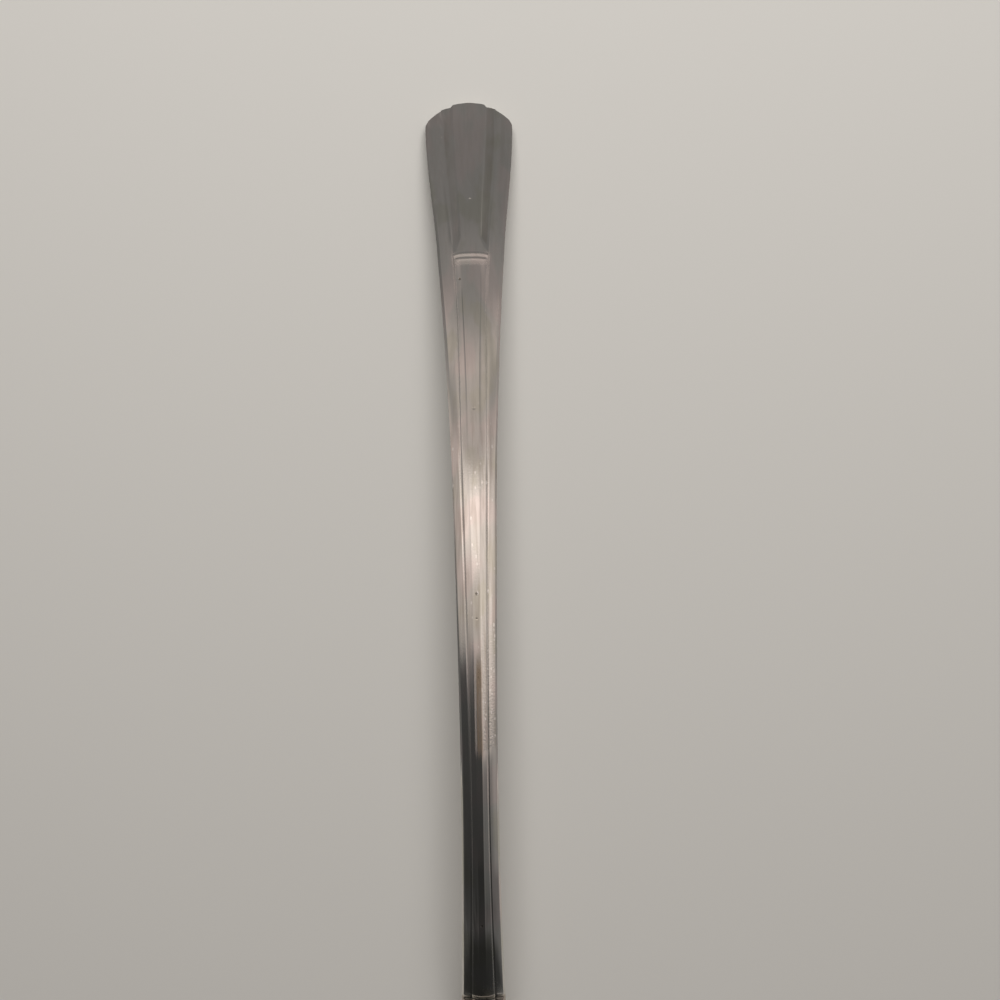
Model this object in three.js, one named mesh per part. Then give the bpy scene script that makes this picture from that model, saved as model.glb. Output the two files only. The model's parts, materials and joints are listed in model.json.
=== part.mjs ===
// Seafood fork: a small three-tined fork struck from one blank of metal, with a fluted handle that ends in
// five steps and carries a pair of raised bars at each end of its stem.
// Units are millimetres. The fork lies face up on the table, with its origin on the table under its middle:
// +Y points to the handle end, -Y to the tine points, +Z up, and X = 0 is its mirror plane.
import * as THREE from "three";

// Lengths along the fork, seen from above
const endLength = 18.5; // handle end, up to the upper bars
const stemLength = 92.3; // fluted stem, with both pairs of bars
const neckLength = 7.7;
const rootLength = 9.4; // shoulders, up to where the tines part
const tineLength = 26.1;

// Widths
const tipWidth = 10.7; // widest, just behind the stepped tip
const tipStraight = 3; // how far that width runs before the taper
const upperBarWidth = 8.2;
const flareWidth = 6.45;
const flareFromBars = 14.5;
const taperWidth = 5.35;
const taperFromBars = 29.5;
const waistWidth = 4.5;
const waistFromBars = 66;
const collarWidth = 5.35; // at the lower bars
const shoulderWidth = 6.6; // where the neck opens into the shoulders
const tineWidth = 3.1;
const slotWidth = 1.75;
const tinePointWidth = 1.5;
const pointsWidth = 12.2; // across all three points

// Panels of the handle's face: a middle panel, a flute each side of it and a band along each edge
const tipPanelWidth = 4.2;
const barPanelWidth = 2.6;
const barFootWidth = 4.2; // the middle panel flares to this foot on the upper bars
const barFootRun = 1.4;
const stemPanelWidth = 1.25;
const waistPanelWidth = 0.8;
const endBandWidth = 1.9;
const stemBandWidth = 1.15;
const collarBandWidth = 1.25;

// Steps of the tip: how far back each panel ends, at its inner and outer side
const middleLobeCrown = 0.3;
const fluteLobeStart = 0.6;
const fluteLobeEnd = 0.95;
const bandLobeStart = 1.05;
const bandLobeEnd = 2.85;
const bandLobeRound = 0.4; // 0 cuts the corner straight, 1 makes it a quarter of an oval

// Relief of the handle's face
const endFluteDepth = 0.13;
const stemFluteDepth = 0.05; // at the upper bars
const waistFluteDepth = 0.02;
const endRidgeHeight = 0.03; // between flute and band on the handle end
const grooveDepth = 0.04; // between flute and band on the stem
const endBandHollow = 0.07;
const stemBandHeight = 0.03;
const endEdgeDrop = 0.12; // rounding of the face into the sides
const stemEdgeDrop = 0.04;
const collarEdgeDrop = 0.1;
const reliefFade = 1.6; // run in which the flutes rise to meet the bars
const upperBarHeight = 0.035;
const lowerBarHeight = 0.1;
const bandBarHeight = 0.085; // of the lower bars' pieces on the bands
const barWidth = 0.5;
const barRiseShare = 0.3; // share of that width in which a bar rises; from there it falls towards the head
const barPitch = 0.62;
const barMargin = 0.22; // between a pair of bars and the end of the stem
const barBow = 0.3; // how far a bar bends along the fork
const barBowFade = 3;

// Side view
const endTilt = 8; // slope of the handle end, in degrees
const crestFromBars = 75; // highest place of the underside
const heelFlat = 2.8; // level stretch of the underside that stands on the table
const heelToTines = 3.8; // from the start of that stretch to where the tines part
const pointRise = 7;

// Thickness at the middle of the face, and crowns from there to the edges
const tipThickness = 1.4;
const barThickness = 1.95;
const waistThickness = 2.45;
const collarThickness = 2.6;
const heelThickness = 2;
const pointThickness = 0.95;
const endCrown = 0.16;
const stemCrown = 0.5;
const neckCrown = 0.75;
const headCrown = 0.2;
const tineCrown = 0.32;
const endBackCrown = 0.2;
const stemBackCrown = 0.4;
const headBackCrown = 0.45;
const backFlatShare = 0.35; // share of the half width over which the back has no crown

// Steps along each piece
const endSteps = 12;
const stemSteps = 30;
const neckSteps = 6;
const rootSteps = 9;
const tineSteps = 14;

// Marks along the fork, measured from the handle end
const barsAt = endLength;
const neckAt = barsAt + stemLength;
const rootAt = neckAt + neckLength;
const tinesAt = rootAt + rootLength;
const pointsAt = tinesAt + tineLength;
const crestAt = barsAt + crestFromBars;
const heelAt = tinesAt - heelToTines;
const heelEnd = heelAt + heelFlat;
const barsRun = barPitch + barWidth;
const upperBarsAt = barsAt + barMargin;
const lowerBarsAt = neckAt - barMargin - barsRun;
const slotRadius = slotWidth / 2;
const headWidth = 3 * tineWidth + 2 * slotWidth;

const mix = THREE.MathUtils.lerp;
const { clamp, smoothstep, smootherstep, degToRad } = THREE.MathUtils;

// A smooth value along the fork through [distance, value] marks, level at both ends and never past a mark.
function track(...marks) {
  const rise = marks.slice(1).map(([at, value], i) => (value - marks[i][1]) / (at - marks[i][0]));
  const slopes = marks.map((mark, i) => {
    const product = (rise[i - 1] ?? 0) * (rise[i] ?? 0);
    return product > 0 ? (2 * product) / (rise[i - 1] + rise[i]) : 0;
  });
  return (s) => {
    const after = marks.findIndex(([at]) => at >= s);
    if (after === 0) return marks[0][1];
    if (after < 0) return marks[marks.length - 1][1];
    const [[from, low], [to, high]] = [marks[after - 1], marks[after]];
    const run = to - from;
    const t = (s - from) / run;
    const ease = t * t * (3 - 2 * t);
    const start = slopes[after - 1] * run * t * (1 - t) * (1 - t);
    const end = slopes[after] * run * t * t * (1 - t);
    return mix(low, high, ease) + start - end;
  };
}

const widthAt = track(
  [tipStraight, tipWidth],
  [barsAt, upperBarWidth],
  [barsAt + flareFromBars, flareWidth],
  [barsAt + taperFromBars, taperWidth],
  [barsAt + waistFromBars, waistWidth],
  [neckAt, collarWidth],
  [rootAt, shoulderWidth],
  [tinesAt, headWidth],
);
const panelWidthAt = track(
  [0, tipPanelWidth],
  [barsAt - barFootRun, barPanelWidth],
  [barsAt, barFootWidth],
  [upperBarsAt + barsRun, barPanelWidth],
  [barsAt + taperFromBars, stemPanelWidth],
  [barsAt + waistFromBars, waistPanelWidth],
);
const bandWidthAt = track(
  [0, endBandWidth],
  [barsAt, endBandWidth],
  [barsAt + taperFromBars, stemBandWidth],
  [neckAt, collarBandWidth],
);
const thicknessAt = track(
  [0, tipThickness],
  [barsAt, barThickness],
  [barsAt + waistFromBars, waistThickness],
  [neckAt, collarThickness],
  [heelAt, heelThickness],
  [pointsAt, pointThickness],
);
const crownAt = track([barsAt - reliefFade, endCrown], [barsAt + taperFromBars, stemCrown],
  [neckAt, neckCrown], [heelAt, headCrown]);
const backCrownAt = track([barsAt, endBackCrown], [barsAt + waistFromBars, stemBackCrown],
  [heelAt, headBackCrown]);
const fluteDepthAt = track(
  [barsAt - reliefFade, endFluteDepth],
  [barsAt, 0],
  [upperBarsAt + barsRun, 0],
  [upperBarsAt + barsRun + reliefFade, stemFluteDepth],
  [barsAt + taperFromBars, waistFluteDepth],
  [lowerBarsAt - reliefFade, waistFluteDepth],
  [lowerBarsAt, 0],
);
const grooveDepthAt = track([barsAt - reliefFade, -endRidgeHeight], [barsAt + reliefFade, grooveDepth],
  [lowerBarsAt, grooveDepth], [neckAt + reliefFade, 0]);
const bandHeightAt = track([barsAt, -endBandHollow], [barsAt + taperFromBars, stemBandHeight],
  [lowerBarsAt, stemBandHeight], [rootAt, 0]);
const edgeDropAt = track([barsAt, endEdgeDrop], [barsAt + taperFromBars, stemEdgeDrop],
  [neckAt, collarEdgeDrop], [tinesAt, 0]);

// Height of the underside: a flat sloping end, an arch to the crest, down to the heel and up to the points.
function undersideAt(s) {
  const slope = Math.tan(degToRad(endTilt));
  const crestHeight = slope * (barsAt + crestFromBars / 2);
  if (s <= barsAt) return slope * s;
  if (s <= crestAt) return crestHeight - (slope * (crestAt - s) ** 2) / (2 * crestFromBars);
  if (s <= heelAt) return crestHeight * (1 - smootherstep(s, crestAt, heelAt));
  return pointRise * Math.max(0, (s - heelEnd) / (pointsAt - heelEnd)) ** 2;
}

// Lanes run along the fork, from the axis outwards. The handle and the head have the same number.
const panelLanes = [0, 0.6, 0.93];
const fluteLanes = [0.1, 0.34, 0.66, 0.88];
const bandLanes = [0, 0.18, 0.4, 0.62, 0.82, 1];
const tineLanes = [-1, -0.6, 0, 0.6, 1];
const slotLanes = [1, 2, 3, 4, 5].map((k) => (k * Math.PI) / 6);
const fluteRise = [0.7, 1, 0.85, 0.3]; // share of the flute's depth at its lanes
const bandRise = [0, 0.6, 1, 0.95, 0.6, 0]; // share of the band's height at its lanes
const lastLane = panelLanes.length + fluteLanes.length + bandLanes.length - 1;
const grooveLane = lastLane - bandLanes.length + 1;
const shortBarLane = panelLanes.length + 1; // where the second of the upper bars ends
const middleTineLanes = 2;
const slotEndLane = middleTineLanes + slotLanes.length + 1;

function handleLanes(s) {
  const half = widthAt(s) / 2;
  const panel = panelWidthAt(s) / 2;
  const groove = half - bandWidthAt(s);
  return [
    ...panelLanes.map((t) => t * panel),
    ...fluteLanes.map((t) => mix(panel, groove, t)),
    ...bandLanes.map((t) => mix(groove, half, t)),
  ];
}

const headLanes = [
  ...tineLanes.slice(2).map((t) => (t * tineWidth) / 2),
  ...slotLanes.map((angle) => tineWidth / 2 + slotRadius * (1 - Math.cos(angle))),
  ...tineLanes.map((t) => tineWidth + slotWidth + (t * tineWidth) / 2),
];

function lanesAt(s) {
  const share = smoothstep(s, neckAt, tinesAt - slotRadius);
  const scale = widthAt(s) / headWidth;
  return handleLanes(s).map((x, lane) => mix(x, headLanes[lane] * scale, share));
}

// Rise of a bar: a short slope up from the handle's side, and a long one down towards the head.
function barRiseAt(s, at, height) {
  const share = clamp((s - at) / barWidth, 0, 1);
  return height * Math.min(share / barRiseShare, (1 - share) / (1 - barRiseShare));
}

// Height of the struck pattern at a lane. The upper bars stop at the bands, the second of them before that,
// and the lower bars go on across the bands, broken by the grooves.
function reliefAt(lane, s) {
  if (lane === lastLane) return -edgeDropAt(s);
  if (lane === grooveLane) return -grooveDepthAt(s);
  const onBand = lane > grooveLane;
  const lowerHeight = onBand ? bandBarHeight : lowerBarHeight;
  const lowerBars = barRiseAt(s, lowerBarsAt, lowerHeight)
    + barRiseAt(s, lowerBarsAt + barPitch, lowerHeight);
  if (onBand) return lowerBars + bandHeightAt(s) * bandRise[lane - grooveLane];
  const shortBar = lane <= shortBarLane ? barRiseAt(s, upperBarsAt + barPitch, upperBarHeight) : 0;
  const bars = lowerBars + barRiseAt(s, upperBarsAt, upperBarHeight) + shortBar;
  return lane < panelLanes.length ? bars : bars - fluteDepthAt(s) * fluteRise[lane - panelLanes.length];
}

// How far a station bends along the fork beside a pair of bars: the upper bars' ends bend to the head, and
// the lower bars' ends to the handle end.
function bowAt(x, s) {
  const reach = widthAt(s) / 2 - bandWidthAt(s);
  const side = Math.min(1, Math.abs(x) / reach) ** 4;
  const upper = clamp((s - barsAt) / barMargin, 0, 1);
  const upperFade = 1 - smoothstep(s, upperBarsAt + barsRun, upperBarsAt + barsRun + barBowFade);
  const lower = smoothstep(s, lowerBarsAt - barBowFade, lowerBarsAt);
  const lowerFade = clamp((neckAt - s) / barMargin, 0, 1);
  return (barBow * side * upper * upperFade) - (barBow * side * lower * lowerFade);
}

// Where the stepped tip ends at a lane.
function tipAt(lane) {
  if (lane < panelLanes.length) return middleLobeCrown * panelLanes[lane] ** 2;
  const inFlute = fluteLanes[lane - panelLanes.length];
  if (lane < grooveLane) return mix(fluteLobeStart, fluteLobeEnd, inFlute ** 2);
  const t = bandLanes[lane - grooveLane];
  return mix(bandLobeStart, bandLobeEnd, mix(t, 1 - Math.sqrt(1 - t * t), bandLobeRound));
}

// Where the root ends at a lane: on the plane of the tines, or in the round bottom of a slot.
function rootEndAt(lane) {
  if (lane <= middleTineLanes || lane >= slotEndLane) return tinesAt;
  return tinesAt - slotRadius * Math.sin(slotLanes[lane - middleTineLanes - 1]);
}

// Both faces of the blank at a place on it.
function facesAt(x, s, relief) {
  const share = Math.abs(x) / (widthAt(s) / 2);
  const overFlat = Math.max(0, share - backFlatShare) / (1 - backFlatShare);
  const under = undersideAt(s);
  return {
    front: new THREE.Vector3(x, -s, under + thicknessAt(s) - crownAt(s) * share ** 2 + relief),
    back: new THREE.Vector3(x, -s, under + backCrownAt(s) * overFlat ** 2),
  };
}

// One station of a piece from its half lanes: mirrored to the other half, from -X to +X.
function stationOf(halfLanes) {
  const mirror = new THREE.Vector3(-1, 1, 1);
  const otherHalf = halfLanes.slice(1).reverse().map(({ front, back }) => ({
    front: front.clone().multiply(mirror),
    back: back.clone().multiply(mirror),
  }));
  return [...otherHalf, ...halfLanes];
}

// A closed plate from stations of lanes: its face, its back, its two sides and its two ends.
function plate(stations) {
  const lanes = stations[0].length;
  const points = stations.flatMap((station) => station.flatMap(({ front, back }) => [front, back]));
  const front = (i, j) => 2 * (i * lanes + j);
  const back = (i, j) => front(i, j) + 1;
  const triangles = [];
  const quad = (a, b, c, d) => triangles.push(a, b, c, a, c, d);
  const lastStation = stations.length - 1;
  const lastLaneOfPlate = lanes - 1;
  for (let i = 0; i < lastStation; i++) {
    for (let j = 0; j < lastLaneOfPlate; j++) {
      quad(front(i, j), front(i + 1, j), front(i + 1, j + 1), front(i, j + 1));
      quad(back(i, j), back(i, j + 1), back(i + 1, j + 1), back(i + 1, j));
    }
    quad(front(i, 0), back(i, 0), back(i + 1, 0), front(i + 1, 0));
    quad(front(i, lastLaneOfPlate), front(i + 1, lastLaneOfPlate), back(i + 1, lastLaneOfPlate),
      back(i, lastLaneOfPlate));
  }
  for (let j = 0; j < lastLaneOfPlate; j++) {
    quad(front(0, j), front(0, j + 1), back(0, j + 1), back(0, j));
    quad(front(lastStation, j), back(lastStation, j), back(lastStation, j + 1), front(lastStation, j + 1));
  }
  const geometry = new THREE.BufferGeometry().setFromPoints(points);
  geometry.setIndex(triangles);
  geometry.computeVertexNormals();
  return geometry;
}

const evenly = (from, to, steps) => Array.from({ length: steps + 1 }, (_, i) => mix(from, to, i / steps));

// Stations that follow both slopes of each bar of a pair.
const barStations = (at) =>
  [at, at + barPitch].flatMap((bar) =>
    [0, barRiseShare, mix(barRiseShare, 1, 0.5), 1].map((share) => bar + share * barWidth));

function handleEnd() {
  return plate(evenly(0, 1, endSteps).map((share) => stationOf(
    Array.from({ length: lastLane + 1 }, (_, lane) => {
      const s = mix(tipAt(lane), barsAt, share);
      return facesAt(lanesAt(s)[lane], s, reliefAt(lane, s));
    }),
  )));
}

function handleStem() {
  const marks = [
    barsAt,
    ...barStations(upperBarsAt),
    ...evenly(upperBarsAt + barsRun, lowerBarsAt, stemSteps).slice(1, -1),
    ...barStations(lowerBarsAt),
    neckAt,
  ];
  return plate(marks.map((mark) => stationOf(lanesAt(mark).map((x, lane) =>
    facesAt(x, mark + bowAt(x, mark), reliefAt(lane, mark)),
  ))));
}

function neck() {
  return plate(evenly(neckAt, rootAt, neckSteps).map((s) => stationOf(
    lanesAt(s).map((x, lane) => facesAt(x, s, reliefAt(lane, s))),
  )));
}

function root() {
  return plate(evenly(0, 1, rootSteps).map((share) => stationOf(
    Array.from({ length: lastLane + 1 }, (_, lane) => {
      const s = mix(rootAt, rootEndAt(lane), share);
      return facesAt(lanesAt(s)[lane], s, reliefAt(lane, s));
    }),
  )));
}

// A tine starts as the root ends, and changes to its own crowned section. Side is -1, 0 or 1.
function tine(side) {
  const baseX = side * (tineWidth + slotWidth);
  const pointX = (side * (pointsWidth - tinePointWidth)) / 2;
  const station = (share) => tineLanes.map((t) => {
    const rounding = (tinePointWidth / 2) * (1 - Math.sqrt(1 - t * t));
    const s = mix(tinesAt, pointsAt - rounding, share);
    const x = mix(baseX, pointX, share) + (t * mix(tineWidth, tinePointWidth, share)) / 2;
    const atRoot = facesAt(x, s, 0);
    const own = smoothstep(share, 0, 0.4);
    const under = undersideAt(s);
    atRoot.front.z = mix(atRoot.front.z, under + thicknessAt(s) - tineCrown * t * t, own);
    atRoot.back.z = mix(atRoot.back.z, under + tineCrown * t * t, own);
    return atRoot;
  });
  return plate(evenly(0, 1, tineSteps).map(station));
}

const blank = new THREE.Group();
blank.position.y = pointsAt / 2;
const pieces = {
  handle_end: handleEnd(),
  handle_stem: handleStem(),
  neck: neck(),
  root: root(),
  tine_left: tine(-1),
  tine_middle: tine(0),
  tine_right: tine(1),
};
for (const [name, geometry] of Object.entries(pieces)) {
  const silver = new THREE.MeshStandardMaterial({ color: 0xbab4ab, metalness: 1, roughness: 0.25 });
  const mesh = new THREE.Mesh(geometry, silver);
  mesh.name = name;
  blank.add(mesh);
}

const fork = new THREE.Group();
fork.add(blank);
export default fork;
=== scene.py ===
import json
import math

import bpy
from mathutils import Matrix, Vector

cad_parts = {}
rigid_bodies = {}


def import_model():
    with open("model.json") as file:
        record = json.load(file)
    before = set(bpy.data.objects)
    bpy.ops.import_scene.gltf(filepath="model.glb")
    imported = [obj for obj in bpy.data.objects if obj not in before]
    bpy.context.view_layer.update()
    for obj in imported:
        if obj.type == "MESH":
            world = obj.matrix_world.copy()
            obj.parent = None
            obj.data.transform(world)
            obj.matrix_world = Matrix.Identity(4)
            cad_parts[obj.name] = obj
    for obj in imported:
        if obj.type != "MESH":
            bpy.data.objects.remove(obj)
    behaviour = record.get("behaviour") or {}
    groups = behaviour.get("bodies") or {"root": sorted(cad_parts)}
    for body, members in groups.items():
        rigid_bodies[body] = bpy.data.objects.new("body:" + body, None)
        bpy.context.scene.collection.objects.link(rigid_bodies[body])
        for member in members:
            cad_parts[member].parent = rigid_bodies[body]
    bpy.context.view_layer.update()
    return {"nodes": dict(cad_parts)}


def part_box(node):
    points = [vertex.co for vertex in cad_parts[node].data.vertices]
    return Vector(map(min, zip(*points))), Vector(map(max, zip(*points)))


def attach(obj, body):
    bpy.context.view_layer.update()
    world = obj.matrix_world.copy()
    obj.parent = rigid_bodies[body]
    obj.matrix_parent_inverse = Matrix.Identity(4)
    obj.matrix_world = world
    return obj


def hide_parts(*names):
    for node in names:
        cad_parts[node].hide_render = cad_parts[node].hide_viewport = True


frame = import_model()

mm = 0.001


def dropSelection():
    if bpy.context.object and bpy.context.object.mode != "OBJECT":
        bpy.ops.object.mode_set(mode="OBJECT")
    bpy.ops.object.select_all(action="DESELECT")


def pickFaces(piece, wanted):
    bpy.ops.object.mode_set(mode="EDIT")
    bpy.ops.mesh.select_mode(type="FACE")
    bpy.ops.mesh.select_all(action="DESELECT")
    bpy.ops.object.mode_set(mode="OBJECT")
    for face in piece.data.polygons:
        face.select = wanted(face)
    bpy.ops.object.mode_set(mode="EDIT")


def pickSharpEdges(degrees):
    bpy.ops.mesh.select_mode(type="EDGE")
    bpy.ops.mesh.select_all(action="DESELECT")
    bpy.ops.mesh.edges_select_sharp(sharpness=math.radians(degrees))


# a shader socket that can be added, multiplied and so on; each sum adds its Math node
class Wire:
    def __init__(self, tree, socket=None):
        self.tree = tree
        self.socket = socket

    def add(self, kind, settings=None, sockets=None, output=0):
        node = self.tree.nodes.new("ShaderNode" + kind)
        for name, value in (settings or {}).items():
            if name == "stops":
                while len(node.color_ramp.elements) < len(value):
                    node.color_ramp.elements.new(1.0)
                for stop, (place, level) in zip(node.color_ramp.elements, value):
                    stop.position = place
                    stop.color = (level, level, level, 1.0)
            else:
                setattr(node, name, value)
        for name, value in (sockets or {}).items():
            if isinstance(value, Wire):
                self.tree.links.new(value.socket, node.inputs[name])
            else:
                node.inputs[name].default_value = value
        return Wire(self.tree, node.outputs[output])

    def math(self, operation, first, second=0.0):
        return self.add("Math", {"operation": operation}, {0: first, 1: second})

    def __add__(self, other):
        return self.math("ADD", self, other)

    def __radd__(self, other):
        return self.math("ADD", other, self)

    def __sub__(self, other):
        return self.math("SUBTRACT", self, other)

    def __rsub__(self, other):
        return self.math("SUBTRACT", other, self)

    def __mul__(self, other):
        return self.math("MULTIPLY", self, other)

    def __rmul__(self, other):
        return self.math("MULTIPLY", other, self)

    def ease(self, low, high):
        return self.add("MapRange", {"interpolation_type": "SMOOTHSTEP"},
                        {"Value": self, "From Min": low, "From Max": high})

    # a Mix node names its sockets alike for every type, so those for colours go by number
    def blend(self, first, second):
        return self.add("Mix", {"data_type": "RGBA"}, {0: self, 6: first, 7: second}, output=2)


blank = {
    "regions": ("handle_end", "handle_stem", "neck", "root",
                "tine_left", "tine_middle", "tine_right"),
    "weld": 0.002 * mm,
    "seamFacing": 0.99,     # faces between two regions look along the fork
    "foldAngle": 9,         # edges of the flutes, grooves and bars
    "foldCrease": 0.5,
    "wallUp": 0.35,         # walls of the outline have normals flatter than this
    "rimCrease": 0.5,       # on top of the crease of a fold
    "smoothing": 2,
    "shadeAngle": 40,
    "faceUp": 0.5,          # normals of the face, for the relief
    "lineUp": 0.85,         # and for the marked folds
    "lineAngle": 17,        # grooves and bars fold more than this
    "softenFactor": 0.5,
    "softenRounds": 200,
}


def joinRegions():
    dropSelection()
    for name in blank["regions"]:
        frame["nodes"][name].select_set(True)
    bpy.context.view_layer.objects.active = frame["nodes"][blank["regions"][0]]
    bpy.ops.object.duplicate()
    bpy.ops.object.join()
    bpy.ops.object.parent_clear(type="CLEAR_KEEP_TRANSFORM")
    fork = bpy.context.object
    fork.name = fork.data.name = "struck_blank"
    for key in list(fork.keys()):
        del fork[key]
    bpy.ops.mesh.customdata_custom_splitnormals_clear()
    bpy.ops.object.mode_set(mode="EDIT")
    bpy.ops.mesh.select_all(action="SELECT")
    bpy.ops.mesh.remove_doubles(threshold=blank["weld"])
    # the faces in which two regions meet lie inside the metal
    seams = [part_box(name)[0].y for name in ("handle_end", "handle_stem", "neck")]
    seams.append(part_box("tine_middle")[1].y)
    pickFaces(fork, lambda face: abs(face.normal.y) > blank["seamFacing"] and
              any(abs(face.center.y - seam) < blank["weld"] for seam in seams))
    bpy.ops.mesh.delete(type="FACE")
    bpy.ops.mesh.select_all(action="SELECT")
    bpy.ops.mesh.tris_convert_to_quads(face_threshold=math.pi, shape_threshold=math.pi)
    bpy.ops.object.mode_set(mode="OBJECT")
    odd = sum(len(face.vertices) != 4 for face in fork.data.polygons)
    print("regions joined:", len(fork.data.polygons), "faces,", odd, "of them not four-sided")
    return fork


# marks the sharpest folds of the face, where the plate has a matte line
def markLines(fork):
    bpy.ops.object.mode_set(mode="EDIT")
    pickSharpEdges(blank["lineAngle"])
    bpy.ops.object.mode_set(mode="OBJECT")
    points = fork.data.vertices
    marks = [0.0] * len(points)
    for fold in fork.data.edges:
        for end in fold.vertices:
            if fold.select and points[end].normal.z > blank["lineUp"]:
                marks[end] = 1.0
    fork.data.attributes.new("lines", "FLOAT", "POINT").data.foreach_set("value", marks)
    print("points marked on the folds of the face:", int(sum(marks)))


def finishEdges(fork):
    bpy.ops.object.mode_set(mode="EDIT")
    pickSharpEdges(blank["foldAngle"])
    bpy.ops.transform.edge_crease(value=blank["foldCrease"])
    pickFaces(fork, lambda face: abs(face.normal.z) < blank["wallUp"])
    bpy.ops.mesh.region_to_loop()
    bpy.ops.transform.edge_crease(value=blank["rimCrease"])
    bpy.ops.object.mode_set(mode="OBJECT")
    smooth = fork.modifiers.new("smooth", "SUBSURF")
    smooth.levels = smooth.render_levels = blank["smoothing"]
    bpy.ops.object.modifier_apply(modifier=smooth.name)
    bpy.ops.object.shade_smooth_by_angle(angle=math.radians(blank["shadeAngle"]))
    print("edges finished:", len(fork.data.polygons), "faces")


# how far each point of the face stands above or below a smoothed copy of it, in millimetres
def measureRelief(fork):
    fork.data.attributes.new("relief", "FLOAT", "POINT")
    bpy.ops.object.duplicate()
    face = bpy.context.object
    seat = face.data.attributes.new("seat", "INT", "POINT")
    seat.data.foreach_set("value", range(len(face.data.vertices)))
    pickFaces(face, lambda side: side.normal.z < blank["faceUp"])
    bpy.ops.mesh.delete(type="FACE")
    bpy.ops.object.mode_set(mode="OBJECT")
    struck = [point.co.copy() for point in face.data.vertices]
    soften = face.modifiers.new("soften", "SMOOTH")
    soften.factor = blank["softenFactor"]
    soften.iterations = blank["softenRounds"]
    bpy.ops.object.modifier_apply(modifier=soften.name)
    heights = [0.0] * len(fork.data.vertices)
    seats = face.data.attributes["seat"].data
    for point, before, origin in zip(face.data.vertices, struck, seats):
        heights[origin.value] = (before - point.co).dot(point.normal) / mm
    fork.data.attributes["relief"].data.foreach_set("value", heights)
    print("relief from", round(min(heights), 3), "to", round(max(heights), 3), "mm")
    bpy.ops.object.delete()
    fork.select_set(True)
    bpy.context.view_layer.objects.active = fork


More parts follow.
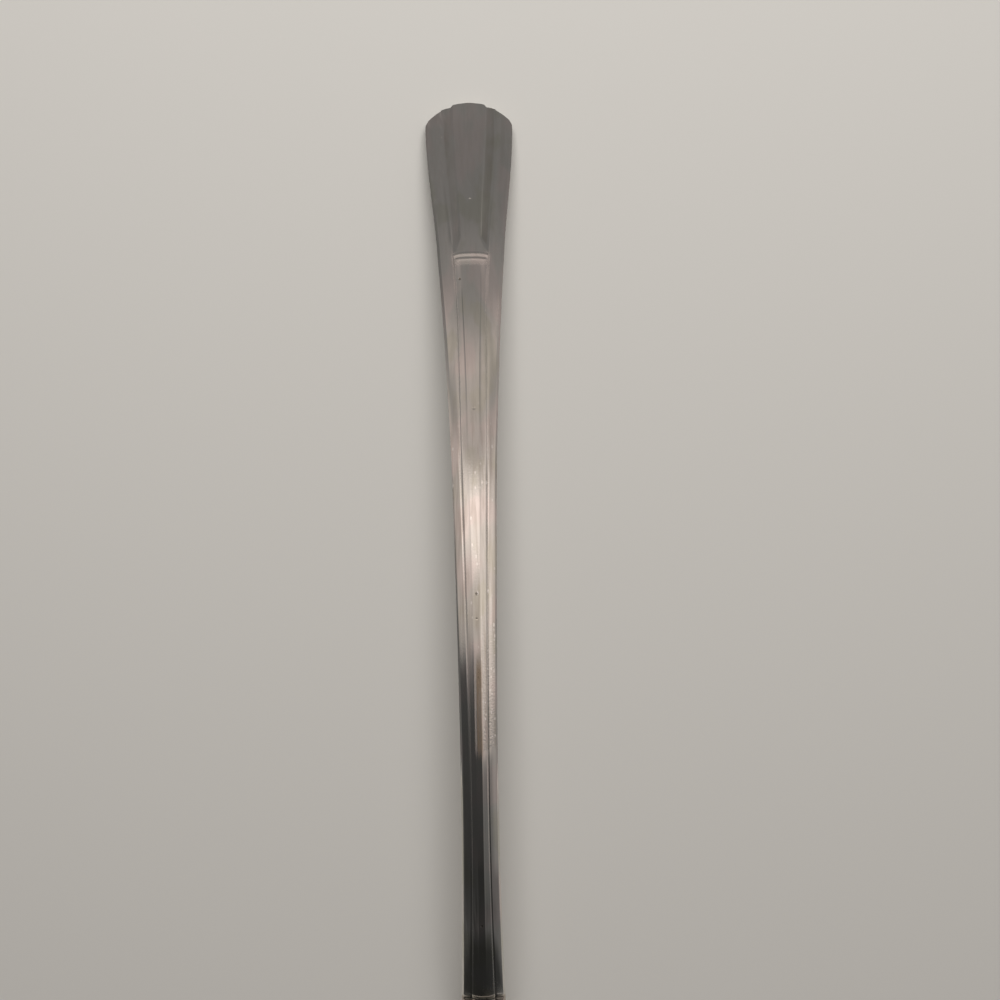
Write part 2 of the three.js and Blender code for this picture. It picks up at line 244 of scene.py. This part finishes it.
plate = {
    "silver": (0.83, 0.80, 0.765),
    "bloom": (0.77, 0.755, 0.72),       # faint cooler patches
    "blush": (0.865, 0.795, 0.765),     # faint rosy ones
    "olive": (0.75, 0.735, 0.665),      # faint yellowed ones
    # painted glints: a paler colour laid in small spots, standing in for glints of light
    "glint": (0.97, 0.945, 0.91),
    "tarnish": (0.40, 0.345, 0.28),
    "amber": (0.46, 0.36, 0.255),       # a brown streak on the stem
    # the clean plate, and what each kind of wear adds
    "roughness": 0.05,
    "smudgeRoughness": 0.02,
    "scratchRoughness": 0.03,
    "grimeRoughness": 0.12,
    "lineRoughness": 0.2,
    "amberRoughness": 0.2,
    "barRoughness": 0.24,
    # scale, detail and stretch of each pattern, which swings about its middle
    "smudges": (120, 3, (1, 1, 1)),             # hand marks, about a centimetre
    "casts": (330, 2, (1, 0.5, 1)),             # slight differences in colour
    "stains": (420, 3, (1, 0.25, 1)),           # tarnish that was left in the hollows
    "streaks": (2200, 2, (1, 0.03, 1)),         # polishing marks along the fork
    "scratches": (9000, 1, (1, 0.012, 1)),      # hairlines
    "grain": (9000, 2, (1, 0.6, 1)),            # worn skin, about a tenth of a millimetre
    "crackle": (4200, 3, (1, 1, 1), 0.65),      # coarser skin on the right
    "wobble": (300, 1, (1, 0.4, 1)),            # slow waves
    "patternMiddle": 0.5,
    # scale, size and share of the spots, and their stretch where they are long
    "pits": (700, 0.13, 0.05),
    "nicks": (600, 0.12, 0.06),
    "glints": (1500, 0.22, 0.4, (1, 0.45, 1)),
    "sparkles": (2600, 0.34, 0.45, (1, 0.6, 1)),
    "spotCore": 0.5,                    # share of a spot's radius that is at full strength
    # stretches in millimetres along the fork, each end from where it begins to where it is full
    "wander": 4,                        # how far the ends of a stretch stray
    "gripLow": (4, 14),                 # worn rough in the middle of the stem
    "gripHigh": (44, 32),
    "rightLow": (-2.6, -2.0),           # and further down on its right side
    "rightHigh": (44, 20),
    "crackleHigh": (26, 2),
    "sparkleHigh": (20, 6),
    "calmLow": (-46, -42),              # no nicks here
    "calmHigh": (16, 8),
    "linesHigh": (60, 56),              # the matte lines stop at the upper bars
    "leftHigh": (16, 8),                # the lines are fainter on the left below this
    "greyLow": (-27, -21),              # and on this stretch of the right
    "greyHigh": (-2, -4),
    "amberLow": (-4.6, -1.2),           # the brown streak and the worn edge
    "amberHigh": (10, 7),
    "upperBarsLow": (56.5, 57),
    "upperBarsHigh": (58.4, 58.1),
    "lowerBarsLow": (-34.6, -34),
    "lowerBarsHigh": (-32.2, -32.6),
    # the same across it
    "rightSide": (0.3, 0.7),
    "leftSide": (0.2, -0.3),
    "amberLeft": (-0.26, -0.1),
    "amberRight": (0.6, 0.3),
    "upperBarsSide": (2.4, 2.0),
    "edgeOffset": 0.36,                 # a worn edge, this far left of the middle
    "edgeWidth": (0.16, 0.06),
    # where in its pattern a mark begins and is full
    "bloomRange": (0.35, 0.65),
    "oliveRange": (0.48, 0.36),
    "blushRange": (0.5, 0.64),
    "stainRange": (0.35, 0.7),
    "dullRange": (0.4, 0.7),
    "amberRange": (0.35, 0.6),
    "smudgeRange": (0.4, 0.75),
    "scratchRange": (0.45, 0.75),
    "hollowRange": (-0.004, -0.04),     # relief in millimetres
    "lineRange": (0.2, 0.9),
    "wideLineRange": (0.05, 0.5),
    # how much of each mark shows
    "hollowShare": 0.12,
    "stainShare": 0.3,
    "pitShare": 0.7,
    "dullShare": 0.08,
    "rubbedShare": 0.22,
    "amberShare": 0.85,
    "amberEven": 0.7,
    "amberStreaky": 0.3,
    "lowerBarsShare": 0.65,
    "lowerBarsMatte": 0.7,
    "leftFaint": 0.65,
    "greyFaint": 0.5,
    "lineCalm": 0.6,                    # the crackle fades beside the lines
    # heights in millimetres
    "wobbleHeight": 0.012,
    "streakHeight": 0.003,
    "greyStreakHeight": 0.004,
    "scratchHeight": 0.0006,
    "grainHeight": 0.0012,
    "crackleHeight": 0.008,
    "nickDepth": 0.01,
    "pitDepth": 0.02,
}


def silverPlate():
    material = bpy.data.materials.new("worn silver plate")
    material.use_nodes = True
    tree = material.node_tree
    shader = tree.nodes["Principled BSDF"]
    wire = Wire(tree)
    place = wire.add("TexCoord", output="Object")
    relief = wire.add("Attribute", {"attribute_name": "relief"}, output="Fac")
    lines = wire.add("Attribute", {"attribute_name": "lines"}, output="Fac")

    def noise(scale, detail, stretch, roughness=0.5):
        spot = wire.add("Mapping", None, {"Vector": place, "Scale": stretch})
        return wire.add("TexNoise", None, {"Vector": spot, "Scale": scale, "Detail": detail,
                                           "Roughness": roughness})

    def spots(scale, size, share, stretch=(1, 1, 1)):
        spot = wire.add("Mapping", None, {"Vector": place, "Scale": stretch})
        cells = {"Vector": spot, "Scale": scale}
        cell = wire.add("TexVoronoi", {"feature": "F1"}, cells, output="Distance")
        pick = wire.add("TexVoronoi", {"feature": "F1"}, cells, output="Color")
        lot = wire.add("SeparateColor", None, {"Color": pick}, output="Red")
        return cell.ease(size, size * plate["spotCore"]) * lot.math("LESS_THAN", lot, share)

    def fade(value, name):
        begins, full = plate[name]
        return value.ease(begins * mm, full * mm)

    def paint(name):
        return (*plate[name], 1)

    smudge = noise(*plate["smudges"])
    cast = noise(*plate["casts"])
    stain = noise(*plate["stains"])
    streak = noise(*plate["streaks"])
    scratch = noise(*plate["scratches"])
    grain = noise(*plate["grain"])
    crackle = noise(*plate["crackle"]) - plate["patternMiddle"]
    wobble = noise(*plate["wobble"])

    acrossFork = wire.add("SeparateXYZ", None, {"Vector": place}, output="X")
    straightAlong = wire.add("SeparateXYZ", None, {"Vector": place}, output="Y")
    alongFork = straightAlong + (stain - plate["patternMiddle"]) * (plate["wander"] * mm)
    grip = fade(alongFork, "gripLow") * fade(alongFork, "gripHigh")
    rightGrip = (fade(alongFork, "rightLow") * fade(alongFork, "rightHigh")
                 * fade(acrossFork, "rightSide"))
    rubbed = grip.math("MAXIMUM", grip, rightGrip)

    pit = spots(*plate["pits"])
    nick = spots(*plate["nicks"]) * (1 - fade(alongFork, "calmLow") * fade(alongFork, "calmHigh"))
    # painted glints and sparkles: paler spots in the colour where the stem is rubbed and on its
    # right side
    glint = spots(*plate["glints"]) * rubbed
    sparkle = spots(*plate["sparkles"]) * rightGrip * fade(alongFork, "sparkleHigh")

    # matte lines in the grooves, fainter where the stem is dark
    darkLeft = fade(acrossFork, "leftSide") * fade(alongFork, "leftHigh")
    greyRight = (fade(acrossFork, "rightSide") * fade(alongFork, "greyLow")
                 * fade(alongFork, "greyHigh"))
    matte = (lines.ease(*plate["lineRange"]) * fade(alongFork, "linesHigh")
             * (1 - darkLeft * plate["leftFaint"] - greyRight * plate["greyFaint"]))

    # a brown streak low on the middle panel, and the worn edge beside it
    beside = fade(alongFork, "amberLow") * fade(alongFork, "amberHigh")
    amber = (fade(acrossFork, "amberLeft") * fade(acrossFork, "amberRight") * beside
             * (streak.ease(*plate["amberRange"]) * plate["amberStreaky"] + plate["amberEven"]))
    fromEdge = acrossFork.math("ABSOLUTE", acrossFork + plate["edgeOffset"] * mm)
    edgeWear = fade(fromEdge, "edgeWidth") * beside

    # both pairs of bars are rougher, and the lower bars are also darker, towards the tarnish
    # colour
    fromMiddle = acrossFork.math("ABSOLUTE", acrossFork)
    upperBars = (fade(straightAlong, "upperBarsLow") * fade(straightAlong, "upperBarsHigh")
                 * fade(fromMiddle, "upperBarsSide"))
    lowerBars = fade(straightAlong, "lowerBarsHigh") * fade(straightAlong, "lowerBarsLow")

    hollow = relief.ease(*plate["hollowRange"])
    stained = stain.ease(*plate["stainRange"]) * plate["stainShare"] + plate["hollowShare"]
    grime = hollow * stained + pit * plate["pitShare"]
    dull = (streak.ease(*plate["dullRange"])
            * (rubbed * plate["rubbedShare"] + plate["dullShare"]))
    clean = smudge.ease(*plate["bloomRange"]).blend(paint("silver"), paint("bloom"))
    yellowed = cast.ease(*plate["oliveRange"]).blend(clean, paint("olive"))
    metal = cast.ease(*plate["blushRange"]).blend(yellowed, paint("blush"))
    worn = (grime + dull).blend(metal, paint("tarnish"))
    browned = (amber * plate["amberShare"]).blend(worn, paint("amber"))
    # the lower bars darker, towards the tarnish colour
    lowerBarsDarker = (lowerBars * plate["lowerBarsShare"]).blend(browned, paint("tarnish"))
    # the painted glints go over all the rest of the colour
    shade = glint.math("MAXIMUM", glint, sparkle).blend(lowerBarsDarker, paint("glint"))

    rubbedLines = matte.math("MAXIMUM", matte, edgeWear)
    rubbedBars = upperBars + lowerBars * plate["lowerBarsMatte"]
    gloss = (plate["roughness"]
             + smudge.ease(*plate["smudgeRange"]) * plate["smudgeRoughness"]
             + streak.ease(*plate["scratchRange"]) * plate["scratchRoughness"]
             + grime * plate["grimeRoughness"]
             + rubbedLines * plate["lineRoughness"]
             + amber * plate["amberRoughness"]
             + rubbedBars * plate["barRoughness"])

    crackled = (crackle * rightGrip * fade(alongFork, "crackleHigh")
                * (1 - lines.ease(*plate["wideLineRange"]) * plate["lineCalm"]))
    height = (wobble * plate["wobbleHeight"]
              + streak * (greyRight * plate["greyStreakHeight"] + plate["streakHeight"])
              + scratch * plate["scratchHeight"]
              + grain * rubbed * plate["grainHeight"]
              + crackled * plate["crackleHeight"]
              - nick * plate["nickDepth"] - pit * plate["pitDepth"])
    bump = wire.add("Bump", None, {"Strength": 1.0, "Distance": mm, "Height": height})
    shader.inputs["Metallic"].default_value = 1.0
    tree.links.new(shade.socket, shader.inputs["Base Color"])
    tree.links.new(gloss.socket, shader.inputs["Roughness"])
    tree.links.new(bump.socket, shader.inputs["Normal"])
    return material


fork = joinRegions()
markLines(fork)
finishEdges(fork)
measureRelief(fork)
fork.data.materials.clear()
fork.data.materials.append(silverPlate())
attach(fork, "root")
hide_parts("handle_end", "handle_stem", "neck", "root",
            "tine_left", "tine_middle", "tine_right")
print("silver plate on")


studio = {
    "floor": (0.60, 0.578, 0.54),
    "floorRoughness": 0.9,
    "floorSize": 12.0,
    "farFloor": (0.38, 0.366, 0.342),   # the floor stays this pale where the lamp doesn't reach
    "litPlace": (0.0, 0.08, 0.0),
    "farRange": (0.12, 0.85),
    "backdrop": 0.38,
}


def paleFloor():
    bpy.ops.mesh.primitive_plane_add(size=studio["floorSize"])
    floor = bpy.context.object
    floor.name = "floor"
    material = bpy.data.materials.new("pale floor")
    material.use_nodes = True
    tree = material.node_tree
    shader = tree.nodes["Principled BSDF"]
    shader.inputs["Base Color"].default_value = (*studio["floor"], 1)
    shader.inputs["Roughness"].default_value = studio["floorRoughness"]
    wire = Wire(tree)
    place = wire.add("TexCoord", output="Object")
    distance = wire.add("VectorMath", {"operation": "DISTANCE"},
                        {0: place, 1: studio["litPlace"]}, output="Value")
    seen = wire.add("LightPath", output="Is Camera Ray")
    mirrored = wire.add("LightPath", output="Is Glossy Ray")
    far = distance.ease(*studio["farRange"]) * (seen + mirrored)
    glow = far.blend((0, 0, 0, 1), (*studio["farFloor"], 1))
    tree.links.new(glow.socket, shader.inputs["Emission Color"])
    shader.inputs["Emission Strength"].default_value = 1.0
    floor.data.materials.append(material)


# brightness of the room overhead, from beyond the tines (0, -Y) to beyond the handle end (1, +Y)
overhead = {
    "left": ((0.00, 0.02), (0.13, 0.025), (0.21, 0.055), (0.31, 0.045), (0.45, 0.035),
             (0.49, 0.045), (0.514, 0.06), (0.523, 0.45), (0.555, 0.48), (0.575, 0.49),
             (0.590, 0.45), (0.606, 0.28), (0.637, 0.165), (0.67, 0.155), (0.72, 0.175)),
    "middle": ((0.00, 0.02), (0.13, 0.02), (0.21, 0.03), (0.31, 0.027), (0.43, 0.025),
               (0.49, 0.05), (0.509, 0.09), (0.522, 0.29), (0.528, 0.51), (0.554, 0.60),
               (0.572, 1.1), (0.592, 1.1), (0.604, 0.43), (0.64, 0.49), (0.67, 0.25),
               (0.72, 0.175)),
    "right": ((0.00, 0.03), (0.13, 0.035), (0.21, 0.11), (0.31, 0.09), (0.44, 0.12),
              (0.478, 0.16), (0.488, 0.53), (0.515, 0.71), (0.540, 0.90), (0.570, 0.74),
              (0.595, 0.43), (0.620, 0.32), (0.67, 0.20), (0.72, 0.175)),
    "farRight": ((0.00, 0.12), (0.42, 0.12), (0.485, 0.35), (0.515, 0.58), (0.54, 0.50),
                 (0.565, 0.29)),
    "leftRange": (-0.20, -0.48),
    "rightRange": (0.15, 0.40),
    "farRightRange": (0.55, 0.85),
    "leftSlant": 0.042,             # the dark part on the left begins along a slanted line
    "slantFrom": -0.58,
    "horizonLeft": 0.13,
    "horizonRight": 0.26,
    "horizonRange": (-0.5, 0.5),
    "horizonUp": (0.55, 0.2),
    "horizonAlong": (-0.8, 0.0),    # the horizon stays dark beyond the tines
    "dim": (1.0, 0.99, 0.97),
    "warm": (1.0, 0.89, 0.82),
    "warmRange": (0.02, 0.5),
}


def softRoom():
    surroundings = bpy.data.worlds.new("soft room")
    bpy.context.scene.world = surroundings
    surroundings.use_nodes = True
    tree = surroundings.node_tree
    wire = Wire(tree)
    way = wire.add("TexCoord", output="Generated")
    side = wire.add("SeparateXYZ", None, {"Vector": way}, output="X")
    along = wire.add("SeparateXYZ", None, {"Vector": way}, output="Y")
    up = wire.add("SeparateXYZ", None, {"Vector": way}, output="Z")

    def ceiling(name, place):
        return wire.add("ValToRGB", {"stops": overhead[name]}, {"Fac": place})

    across = along * 0.5 + 0.5      # a direction runs from -1 to 1, a ramp from 0 to 1
    slanted = across - (side - overhead["slantFrom"]) * overhead["leftSlant"]
    toLeft = side.ease(*overhead["leftRange"])
    toRight = side.ease(*overhead["rightRange"])
    far = side.ease(*overhead["farRightRange"])
    near = (ceiling("left", slanted) * toLeft + ceiling("middle", across) * (1 - toLeft - toRight)
            + ceiling("right", across) * toRight)
    above = near * (1 - far) + ceiling("farRight", across) * far
    low = up.ease(*overhead["horizonUp"]) * along.ease(*overhead["horizonAlong"])
    rise = overhead["horizonRight"] - overhead["horizonLeft"]
    horizon = side.ease(*overhead["horizonRange"]) * rise + overhead["horizonLeft"]
    mirrored = above * (1 - low) + low * horizon
    seen = wire.add("LightPath", output="Is Camera Ray")
    level = mirrored * (1 - seen) + seen * studio["backdrop"]
    tint = level.ease(*overhead["warmRange"]).blend((*overhead["dim"], 1), (*overhead["warm"], 1))
    tree.links.new(tint.socket, tree.nodes["Background"].inputs["Color"])
    tree.links.new(level.socket, tree.nodes["Background"].inputs["Strength"])


keyLight = {
    "place": (0.02, 0.26, 0.29),
    "aim": (0.0, 0.03, 0.0),
    "size": (0.3, 0.3),
    "power": 1.45,
}


def hangKeyLight():
    lamp = bpy.data.lights.new("key light", "AREA")
    lamp.shape = "RECTANGLE"
    lamp.size, lamp.size_y = keyLight["size"]
    lamp.energy = keyLight["power"]
    stand = bpy.data.objects.new("key light", lamp)
    bpy.context.scene.collection.objects.link(stand)
    stand.location = keyLight["place"]
    toward = Vector(keyLight["aim"]) - Vector(keyLight["place"])
    stand.rotation_euler = toward.to_track_quat("-Z", "Y").to_euler()
    stand.visible_glossy = False    # the metal mirrors the room, not the lamp


photoCamera = {
    "place": (3.05 * mm, 27.88 * mm, 344.4 * mm),
    "turn": -1.0,
    "lens": 100,
    "clipFrom": 10 * mm,
}


def setCamera():
    camera = bpy.data.cameras.new("photo camera")
    camera.lens = photoCamera["lens"]
    camera.clip_start = photoCamera["clipFrom"]
    stand = bpy.data.objects.new("photo camera", camera)
    bpy.context.scene.collection.objects.link(stand)
    stand.location = photoCamera["place"]
    stand.rotation_euler = (0, 0, math.radians(photoCamera["turn"]))
    bpy.context.scene.camera = stand


bpy.context.scene.view_settings.view_transform = "Standard"
dropSelection()
paleFloor()
softRoom()
hangKeyLight()
setCamera()
print("studio ready")
